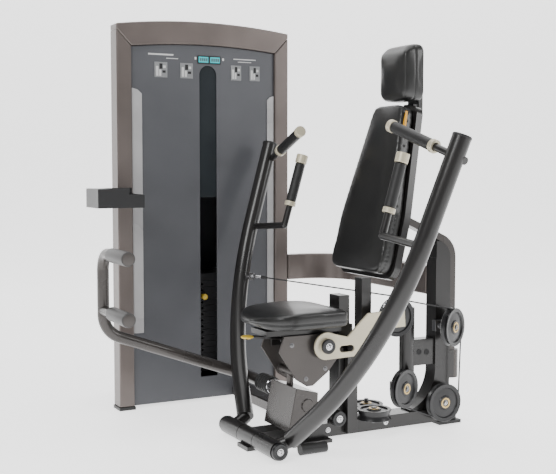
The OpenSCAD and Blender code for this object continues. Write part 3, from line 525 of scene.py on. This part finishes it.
# Round the equaliser, over and down behind the rear pulleys, and forward under the mid pulley
path = arc(eq, X, Z, groove_r, 200, 96, 16)
path += span(path[-1], upper + Z * groove_r - slant * lead_in, 16)[1:]
path += arc(upper, slant, Z, groove_r, 88, 0, 12)
path += span(path[-1], lower + X * groove_r, 12)[1:]
path += arc(lower, X, -Z, groove_r, 6, 90, 12)
path += span(path[-1], mid - Z * groove_r, 12)[1:]
path += arc(mid, -tilt, -Z, groove_r, 86, -60, 16)
run = tube("drive_cable_run", path, cable_r, MAT["cable_black"], "frame", 10)
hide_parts("drive_cable")
sleeve = [(0, 0), (0.0058, 0), (0.0062, 0.002), (0.0058, 0.03), (0.0045, 0.036), (0, 0.036)]
for side, name in ((1, "right"), (-1, "left")):
    low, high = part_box(f"{name}_arm_cable")
    y_out = high[1] - cable_r if side > 0 else low[1] + cable_r
    y_in = low[1] + cable_r if side > 0 else high[1] - cable_r
    start = Vector((low[0] + cable_r * 0.5, y_out, high[2] - cable_r))
    end = Vector((high[0] - cable_r * 0.5, y_in, low[2] + cable_r))
    line = tube(f"{name}_arm_cable_run", span(start, end, 28), cable_r, MAT["cable_black"], None,
                10)
    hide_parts(f"{name}_arm_cable")
    ahead = (end - start).normalized()
    lathe(f"{name}_cable_sleeve", start - ahead * 0.012, ahead, sleeve, MAT["rubber_black"], f"{name}_arm",
          24)
    refine(f"{name}_cable_eye", 0.0012)
    socket_bolt(f"{name}_eye_cap", centre_of(f"{name}_cable_eye"), (-1, 0, 0), 0.005, f"{name}_arm")


# ---------------------------------------------------------------- pivots, caps and bolts
low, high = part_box("pivot_shaft")
pivot = Vector(((low[0] + high[0]) / 2, 0, (low[2] + high[2]) / 2))
shaft_r, cap_seat = 0.0159, 0.01
end_y = high[1] - cap_seat
core = lathe("pivot_shaft_turned", (pivot.x, -end_y, pivot.z), (0, 1, 0),
             [(0, 0), (shaft_r, 0), (shaft_r, 2 * end_y), (0, 2 * end_y)],
             MAT["shaft_steel"], "frame", 48)
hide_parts("pivot_shaft")
for side, name in ((-1, "left"), (1, "right")):
    at = (pivot.x, side * end_y, pivot.z)
    round_cap(f"pivot_cap_{name}", at, (0, side, 0), 0.0285, 0.012, "frame", 0.0085)
round_cap("bracket_cap", (0.022, -0.103, 0.344), (0, -1, 0), 0.026, 0.009, "frame", 0.009)
round_cap("gusset_cap", (0.09, -0.062, 0.078), (0, -1, 0), 0.0275, 0.008, "frame", 0.009)
band_face_x = 0.6131
for i, z in enumerate((0.30, 0.36, 0.47, 0.54)):
    socket_bolt(f"band_bolt_{i}", (band_face_x, -0.008 + 0.016 * (i % 2), z), (1, 0, 0), 0.0075, "frame")
beam_side_y, beam_mid_z = -0.04, 0.036
for i, x in enumerate((0.06, 0.145, 0.30)):
    socket_bolt(f"beam_bolt_{i}", (x, beam_side_y, beam_mid_z), (0, -1, 0), 0.007, "frame")
sleeve_r, sleeve_h = 0.0272, 0.106
lathe("upright_sleeve", (0.614, 0, 0.166), (0, 0, 1),
      [(0, 0), (sleeve_r - 0.001, 0), (sleeve_r, 0.001), (sleeve_r, sleeve_h - 0.001),
       (sleeve_r - 0.001, sleeve_h), (0, sleeve_h)],
      MAT["band_grey"], "frame", 56)
# Dark rimmed discs on the bracket plate, painted as the shade inside its two holes
hole_r, rim, rim_h = 0.0105, 0.002, 0.0012
for i, (x, z) in enumerate(((0.455, 0.276), (0.488, 0.273))):
    lathe(f"bracket_hole_{i}", (x, -0.0222, z), (0, -1, 0),
          [(0, 0), (hole_r, 0), (hole_r, rim_h), (hole_r - rim, rim_h), (hole_r - rim, 0.0004), (0, 0.0004)],
          DARK, "frame", 40)
plate_side_y = -0.07
for i, (x, z) in enumerate(((-0.1, 0.352), (0.02, 0.352), (-0.045, 0.232), (0.03, 0.262))):
    socket_bolt(f"side_bolt_{i}", (x, plate_side_y, z), (0, -1, 0), 0.006, "frame", MAT["shaft_steel"])
barrel_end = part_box("lever_barrel")[0][1]
barrel = centre_of("lever_barrel")
lathe("barrel_ring", (barrel.x, barrel_end - 0.004, barrel.z), (0, 1, 0),
      [(0.0145, 0), (0.026, 0), (0.0275, 0.0015), (0.0265, 0.0038), (0.0145, 0.0038)],
      MAT["chrome"], "foot_lever", 48)

# Seat lever: a dark rod with a flat round knob
hinge_x, hinge_y, hinge_z = -0.097, -0.02, 0.368
hinge_half = 0.013
knob = lathe("seat_lever_knob", (-0.243, hinge_y, 0.3795), (0, 0, 1),
             [(0, 0), (0.014, 0), (0.0205, 0.0028), (0.0222, 0.005), (0.0205, 0.0078), (0.014, 0.0103),
              (0, 0.0106)],
             MAT["yellow_plastic"], "seat_lever", 56)
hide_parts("seat_lever")
lever_path = [(-0.225, hinge_y, 0.3845), (-0.16, hinge_y, 0.3757), (hinge_x, hinge_y, hinge_z)]
tube("seat_lever_rod", lever_path, 0.0052, MAT["frame_dark"], "seat_lever", 16)
hinge_path = [(hinge_x, hinge_y - hinge_half, hinge_z), (hinge_x, hinge_y + hinge_half, hinge_z)]
tube("seat_lever_hinge", hinge_path, 0.0049, MAT["shaft_steel"], "seat_lever", 24)

# Caps on the open tops of the press arms
# The arm's plane leans to the rear, and in it the tube's top part runs outward from the knee
lean = math.radians(18.6)
flare = math.radians(7.0)
plane_x, plane_z = -0.161, 0.05
knee_y, knee_s, top_l = 0.589, 0.734, 0.317
cap = [(0, -0.004), (0.0292, -0.004), (0.0305, -0.003), (0.0305, 0.003), (0.0275, 0.0055), (0, 0.006)]
for side, name in ((1, "right"), (-1, "left")):
    along = knee_s + top_l * math.cos(flare)
    at = Vector((plane_x + along * math.sin(lean), side * (knee_y + top_l * math.sin(flare)),
                 plane_z + along * math.cos(lean)))
    way = Vector((math.cos(flare) * math.sin(lean), side * math.sin(flare), math.cos(flare) * math.cos(lean)))
    lathe(f"{name}_arm_top_cap", at, way, cap, MAT["rubber_black"], f"{name}_arm", 56)

# Rollers of the foot lever, with rounded rims and end discs
for node in ("upper_foot_roller", "lower_foot_roller"):
    low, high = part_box(node)
    c = centre_of(node)
    r = (high[2] - low[2]) / 2
    length = high[1] - low[1]
    # One half of the section, from the bore at an end to where the side runs straight
    half = [(0.0121, 0), (r * 0.9, 0), (r * 0.97, 0.0015), (r, 0.006)]
    profile = half + [(a, length - d) for a, d in half[::-1]]
    o = lathe(node + "_moulded", (c.x, low[1], c.z), (0, 1, 0), profile, MAT["rubber_grey"], BODY[node],
              64)
    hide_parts(node)
    disc = [(0, 0), (r * 0.84, 0), (r * 0.82, 0.002), (r * 0.5, 0.003), (0, 0.003)]
    lathe(node + "_disc", (c.x, low[1] + 0.0005, c.z), (0, -1, 0), disc, MAT["sheet_grey"], BODY[node],
          56)


# ---------------------------------------------------------------- cushions
def evened(values, mesh, rounds):
    """Averages a value per vertex with its neighbours' values, many times over."""
    ends = np.array([e.vertices for e in mesh.edges])
    a, b = ends[:, 0], ends[:, 1]
    n = len(values)
    share = np.maximum(np.bincount(a, minlength=n) + np.bincount(b, minlength=n), 1)
    for _ in range(rounds):
        total = np.bincount(a, weights=values[b], minlength=n)
        total += np.bincount(b, weights=values[a], minlength=n)
        values = 0.5 * values + 0.5 * total / share
    return values


def cushion(node, shrink, voxel, rounds, cap):
    """Voxel skin of the CAD solid, rounded, then blown up by at most cap as cloth."""
    pressure, frames, stretch, bend = 2.0, 16, 6, 1
    low, high = (Vector(v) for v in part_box(node))
    c = (low + high) / 2
    size = high - low
    scale = Matrix.Diagonal([(size[i] - 2 * shrink) / size[i] for i in range(3)] + [1.0])
    mesh = nodes[node].data.copy()
    mesh.transform(Matrix.Translation(c) @ scale @ Matrix.Translation(-c))
    o = bpy.data.objects.new(node + "_cushion", mesh)
    bpy.context.collection.objects.link(o)
    bpy.context.view_layer.objects.active = o
    remesh = o.modifiers.new("skin", "REMESH")
    remesh.mode = "VOXEL"
    remesh.voxel_size = voxel
    smooth = o.modifiers.new("round", "SMOOTH")
    smooth.factor = 0.5
    smooth.iterations = rounds
    mesh = bpy.data.meshes.new_from_object(o.evaluated_get(bpy.context.evaluated_depsgraph_get()))
    o.modifiers.clear()
    o.data = mesh
    start = np.array([v.co for v in mesh.vertices])
    normals = np.array([v.normal for v in mesh.vertices])
    swell = np.full(len(start), cap * 0.5)
    cloth = o.modifiers.new("stuffing", "CLOTH")
    cloth.settings.use_pressure = True
    cloth.settings.uniform_pressure_force = pressure
    cloth.settings.effector_weights.gravity = 0.0
    cloth.settings.tension_stiffness = stretch
    cloth.settings.compression_stiffness = stretch
    cloth.settings.bending_stiffness = bend
    scene = bpy.context.scene
    for f in range(1, frames + 1):
        scene.frame_set(f)
    ready = bpy.data.meshes.new_from_object(o.evaluated_get(bpy.context.evaluated_depsgraph_get()))
    moved = np.array([v.co for v in ready.vertices]) - start
    o.modifiers.clear()
    scene.frame_set(1)
    # Only the swelling square to the skin is kept, evened out so that no crumples stay
    swell = evened((moved * normals).sum(axis=1), mesh, 60)
    swell = np.clip(swell * cap / max(float(np.percentile(swell, 98)), 1e-6), 0.0, cap)
    mesh.vertices.foreach_set("co", (start + normals * swell[:, None]).astype(np.float32).ravel())
    mesh.update()
    mesh.materials.clear()
    mesh.materials.append(MAT["pad_leather"])
    mesh.shade_smooth()
    o.modifiers.new("fine", "SUBSURF").levels = 1
    o.modifiers["fine"].render_levels = 1
    mesh = bpy.data.meshes.new_from_object(o.evaluated_get(bpy.context.evaluated_depsgraph_get()))
    o.modifiers.clear()
    o.data = mesh
    mesh.shade_smooth()
    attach(o, BODY[node])
    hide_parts(node)
    return o


def seam(name, pad, points, normals, depth=0.0016, reach=0.004, radius=0.0013):
    """Presses a stitched groove into a pad along a line near its skin, and lays the welt in it."""
    mesh = pad.data
    tree = BVHTree.FromPolygons([v.co for v in mesh.vertices], [p.vertices for p in mesh.polygons])
    stand_off = 0.08
    line = []
    for p, away in zip(points, normals):
        hit = tree.ray_cast(Vector(p) + Vector(away) * stand_off, -Vector(away), 2 * stand_off)
        if hit[0] is not None:
            line.append((hit[0], hit[1]))
    marks = np.array([p for p, _ in line])
    co = np.array([v.co for v in mesh.vertices])
    near = np.full(len(co), 1.0)
    batch = 50
    for first in range(0, len(marks), batch):
        d = np.linalg.norm(co[:, None, :] - marks[None, first:first + batch, :], axis=2).min(axis=1)
        near = np.minimum(near, d)
    press = depth * np.exp(-(near / reach) ** 2)
    inward = np.array([v.normal for v in mesh.vertices])
    mesh.vertices.foreach_set("co", (co - inward * press[:, None]).astype(np.float32).ravel())
    mesh.update()
    path = [p - n * (depth * 0.75) for p, n in line]
    return tube(name, path, radius, THREAD, BODY[pad.name.replace("_cushion", "")], 8)


back_lean = math.radians(14.6)
back_x, back_z = 0.17375, 0.586


def on_back(d, u, s):
    """A point from depth behind the back pad's face, place across it and height along it."""
    c, t = math.cos(back_lean), math.sin(back_lean)
    return Vector((back_x + d * c + s * t, u, back_z - d * t + s * c))


def loop_points(corners, n):
    """Points along an open line of corners."""
    points = []
    for a, b in zip(corners, corners[1:]):
        for i in range(n):
            points.append((a[0] + (b[0] - a[0]) * i / n, a[1] + (b[1] - a[1]) * i / n))
    points.append(corners[-1])
    return points


seat = cushion("seat_pad", 0.01, 0.0055, 26, 0.013)
back = cushion("back_pad", 0.008, 0.0055, 20, 0.011)
head = cushion("headrest_pad", 0.008, 0.005, 26, 0.011)

# Welts round the sides of the three pads
turn = [math.radians(2.5 * i) for i in range(145)]
c = centre_of("seat_pad")
seat_reach_x, seat_reach_y = 0.16, 0.155
welt_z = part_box("seat_pad")[0][2] + 0.03
points = [Vector((c.x + math.cos(a) * seat_reach_x, c.y + math.sin(a) * seat_reach_y, welt_z)) for a in turn]
seam("seat_welt", seat, points, [Vector((math.cos(a), math.sin(a), 0)) for a in turn])

outline = [(0.0, 0.012), (0.135, 0.012), (0.163, 0.03), (0.16, 0.215), (0.098, 0.585), (0.086, 0.603),
           (0.0, 0.608)]
ring = loop_points(outline, 12)
ring = ring + [(-u, s) for u, s in reversed(ring[:-1])]
welt_d, mid_s = 0.026, 0.3
points, ways = [], []
for u, s in ring:
    points.append(on_back(welt_d, u, s))
    way = on_back(0, u, s) - on_back(0, u * 0.25, mid_s + (s - mid_s) * 0.55)
    ways.append(way.normalized())
seam("back_welt", back, points, ways)

c = centre_of("headrest_pad")
head_reach_y, head_reach_z, tiny = 0.075, 0.095, 1e-6
points, ways = [], []
for a in turn:
    way = Vector((0, math.cos(a), math.sin(a)))
    reach = min(head_reach_y / max(abs(way.y), tiny), head_reach_z / max(abs(way.z), tiny))
    points.append(Vector((c.x + 0.004, way.y * reach, c.z + way.z * reach)))
    ways.append(way)
seam("head_welt", head, points, ways)

# Amber tag sewn into the near side seam, following the pad's taper
tag_low, tag_high, tag_u, taper = 0.53, 0.585, 0.1125, 0.18
tag_verts = [on_back(d, u, s) for d in (0.012, 0.021) for s in (tag_low, tag_high)
             for u in (-0.1, -tag_u + (s - tag_low) * taper)]
tag_faces = [(0, 1, 3, 2), (4, 5, 7, 6), (0, 1, 5, 4), (2, 3, 7, 6), (0, 2, 6, 4), (1, 3, 7, 5)]
soften(add_piece("pad_tag", tag_verts, tag_faces, TAG, "frame"), 0.0015)

# The two arm cables, running between the arms and the frame, and the stack cable get their placement baked into
# their meshes; the CAD stack cable is hidden
for name in ("right", "left"):
    line = bpy.data.objects[f"{name}_arm_cable_run"]
    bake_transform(line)
low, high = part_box("stack_cable")
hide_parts("stack_cable")
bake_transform(rope)

# Every CAD node also carries its own finish
for node, o in nodes.items():
    o.data.materials.clear()
    o.data.materials.append(MAT[SLOT[node]])


# ---------------------------------------------------------------- stage, light and camera
view_yaw = math.radians(-27.4)


def stage_floor():
    """A pale floor that curves up into the backdrop, square to the camera's view."""
    reach, front_at, back_at, radius, top = 12.0, -14.0, 7.0, 3.0, 9.0
    below = 0.0008
    line = [(front_at, 0.0), (back_at - radius, 0.0)]
    for i in range(1, 16):
        a = math.radians(i * 6)
        line.append((back_at - radius + radius * math.sin(a), radius - radius * math.cos(a)))
    line += [(back_at, top)]
    c, t = math.cos(view_yaw), math.sin(view_yaw)
    verts = [(side * c - forward * t, side * t + forward * c, z - below)
             for side in (-reach, reach) for forward, z in line]
    k = len(line)
    faces = [(i, i + 1, k + i + 1, k + i) for i in range(k - 1)]
    mesh = bpy.data.meshes.new("floor")
    mesh.from_pydata(verts, [], faces)
    mesh.update()
    mesh.shade_smooth()
    o = bpy.data.objects.new("floor", mesh)
    bpy.context.collection.objects.link(o)
    pale = material("floor_pale", (0.9, 0.9, 0.9), 0.55, flake=0.005, cloud=0.01, bump=0.01, specular=0.2)
    shader = pale.node_tree.nodes["Principled BSDF"]
    shader.inputs["Emission Color"].default_value = (1, 1, 1, 1)
    shader.inputs["Emission Strength"].default_value = 1.6
    mesh.materials.append(pale)


stage_floor()
world = bpy.context.scene.world or bpy.data.worlds.new("studio")
bpy.context.scene.world = world
world.use_nodes = True
world.node_tree.nodes["Background"].inputs["Color"].default_value = (1, 1, 1, 1)
world.node_tree.nodes["Background"].inputs["Strength"].default_value = 0.35


def soft_box(name, at, target, size, power):
    data = bpy.data.lights.new(name, "AREA")
    data.shape = "RECTANGLE"
    data.size, data.size_y = size
    data.energy = power
    o = bpy.data.objects.new(name, data)
    bpy.context.collection.objects.link(o)
    o.location = at
    o.rotation_euler = (Vector(target) - Vector(at)).to_track_quat("-Z", "Y").to_euler()


soft_box("key", (-2.6, -1.6, 2.9), (0, 0.2, 0.7), (1.6, 1.2), 60)
soft_box("side", (2.6, -2.4, 2.2), (0.2, 0, 0.7), (1.0, 1.8), 40)
soft_box("top", (0.2, 0.2, 3.6), (0, 0.2, 0.0), (3.0, 3.0), 60)

camera = bpy.data.objects.new("camera", bpy.data.cameras.new("camera"))
bpy.context.collection.objects.link(camera)
camera.location = (-1.714, -3.082, 0.958)
camera.rotation_euler = (math.radians(86.0), 0, view_yaw)
sensor, focal_share = 36.0, 1023.0 / 556.0
camera.data.sensor_width = sensor
camera.data.lens = focal_share * sensor
bpy.context.scene.camera = camera
